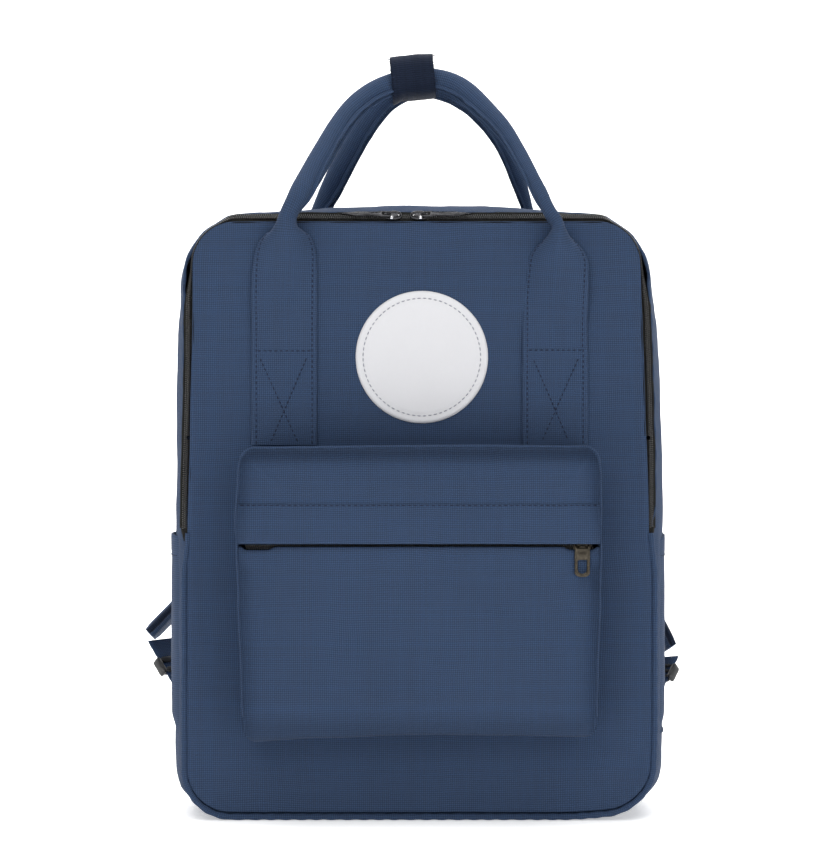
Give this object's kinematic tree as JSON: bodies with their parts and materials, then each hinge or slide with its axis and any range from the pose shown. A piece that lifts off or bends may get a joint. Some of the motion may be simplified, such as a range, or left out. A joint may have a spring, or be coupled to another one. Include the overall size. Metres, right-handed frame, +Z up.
{
  "type": "school backpack",
  "caption": "Boxy school backpack with a wraparound zip, front and side pockets, padded shoulder straps and two rolled carry handles joined by a webbing loop.",
  "frame": {"origin": "middle of the flat bottom that the bag stands on", "axes": "+X to the right seen from the front, +Y towards the wearer's back, +Z up"},
  "size_m": [0.3534, 0.2215, 0.4812],
  "materials": {
    "body_fabric": "woven polyester, matt with a slight sheen",
    "lining_fabric": "thin plain-weave lining",
    "pad_foam": "open-cell foam sheet",
    "zip_tape": "knitted zip tape, matt",
    "zip_teeth": "nylon coil, semi-gloss",
    "slider_metal": "dark nickel plating, polished",
    "pull_brass": "antique brass plating, darkened in the hollows",
    "patch": "smooth coated patch, off-white",
    "webbing": "ribbed polyester webbing, dark navy",
    "adjuster_plastic": "moulded acetal, satin"
  },
  "bodies": {
    "bag": {"gusset_top": "body_fabric", "gusset_bottom": "body_fabric", "gusset_left": "body_fabric", "gusset_right": "body_fabric", "back_panel": "body_fabric", "front_panel_lower": "body_fabric", "front_seam_piping": "body_fabric", "back_strap_end_left": "body_fabric", "back_strap_end_right": "body_fabric", "pocket_gusset_top": "body_fabric", "pocket_gusset_bottom": "body_fabric", "pocket_gusset_left": "body_fabric", "pocket_gusset_right": "body_fabric", "pocket_front_lower": "body_fabric", "pocket_front_upper": "body_fabric", "pocket_piping": "body_fabric", "side_pocket_left": "body_fabric", "side_pocket_right": "body_fabric", "shoulder_strap_left": "body_fabric", "shoulder_strap_right": "body_fabric", "lining": "lining_fabric", "inner_sleeve": "lining_fabric", "back_pad": "pad_foam", "zip_tape_rear": "zip_tape", "zip_tape_front_lower_left": "zip_tape", "zip_tape_front_lower_right": "zip_tape", "zip_end_stop_left": "zip_tape", "zip_end_stop_right": "zip_tape", "pocket_zip_tape_upper": "zip_tape", "pocket_zip_tape_lower": "zip_tape", "zip_coil_rear": "zip_teeth", "zip_coil_front_lower_left": "zip_teeth", "zip_coil_front_lower_right": "zip_teeth", "pocket_zip_coil_upper": "zip_teeth", "pocket_zip_coil_lower": "zip_teeth", "lower_webbing_left": "webbing", "lower_webbing_right": "webbing", "anchor_wing_left": "webbing", "anchor_wing_right": "webbing"},
    "flap": {"front_panel_upper": "body_fabric", "zip_tape_front": "zip_tape", "zip_coil_front": "zip_teeth", "front_strap_end_left": "body_fabric", "front_strap_end_right": "body_fabric", "round_patch": "patch"},
    "front_handle": {"front_handle": "body_fabric", "handle_tab_front": "webbing"},
    "back_handle": {"back_handle": "body_fabric", "handle_tab_rear": "webbing"},
    "main_slider_left": {"main_slider_left": "slider_metal"},
    "main_pull_left": {"main_pull_left": "slider_metal"},
    "main_slider_right": {"main_slider_right": "slider_metal"},
    "main_pull_right": {"main_pull_right": "slider_metal"},
    "pocket_slider": {"pocket_slider": "slider_metal"},
    "pocket_pull": {"pocket_pull": "pull_brass"},
    "pocket_hem": {"pocket_hem": "body_fabric"},
    "adjuster_left": {"strap_adjuster_left": "adjuster_plastic"},
    "adjuster_right": {"strap_adjuster_right": "adjuster_plastic"}
  },
  "joints": [
    {"name": "flap_open", "type": "hinge", "parent": "bag", "child": "flap", "pos_m": [0, -0.0612, 0.238], "axis": [1, 0, 0], "range_deg": [0, 80]},
    {"name": "front_handle_fold", "type": "hinge", "parent": "flap", "child": "front_handle", "pos_m": [0, -0.0635, 0.292], "axis": [1, 0, 0], "range_deg": [0, 80]},
    {"name": "back_handle_fold", "type": "hinge", "parent": "bag", "child": "back_handle", "pos_m": [0, 0.0623, 0.372], "axis": [-1, 0, 0], "range_deg": [0, 85]},
    {"name": "main_slider_left_slide", "type": "slide", "parent": "flap", "child": "main_slider_left", "axis": [-1, 0, 0], "range_m": [0, 0.088]},
    {"name": "main_pull_left_turn", "type": "hinge", "parent": "main_slider_left", "child": "main_pull_left", "pos_m": [-0.0186, -0.06106, 0.37646], "axis": [0, 0.7071, 0.7071], "range_deg": [0, 90]},
    {"name": "main_slider_right_slide", "type": "slide", "parent": "flap", "child": "main_slider_right", "axis": [1, 0, 0], "range_m": [0, 0.104]},
    {"name": "main_pull_right_turn", "type": "hinge", "parent": "main_slider_right", "child": "main_pull_right", "pos_m": [0.0019, -0.06106, 0.37646], "axis": [0, -0.7071, -0.7071], "range_deg": [0, 90]},
    {"name": "pocket_slider_slide", "type": "slide", "parent": "bag", "child": "pocket_slider", "axis": [-1, 0, 0], "range_m": [0, 0.195]},
    {"name": "pocket_pull_swing", "type": "hinge", "parent": "pocket_slider", "child": "pocket_pull", "pos_m": [0.1005, -0.1006, 0.1715], "axis": [-1, 0, 0], "range_deg": [0, 80]},
    {"name": "pocket_hem_lift", "type": "hinge", "parent": "bag", "child": "pocket_hem", "pos_m": [0, -0.098, 0.196], "axis": [-1, 0, 0], "range_deg": [0, 60]},
    {"name": "adjuster_left_slide", "type": "slide", "parent": "bag", "child": "adjuster_left", "axis": [-0.4894, 0.4521, 0.7457], "range_m": [-0.008, 0.008]},
    {"name": "adjuster_right_slide", "type": "slide", "parent": "bag", "child": "adjuster_right", "axis": [0.3956, 0.6395, 0.6593], "range_m": [-0.006, 0.006]}
  ]
}
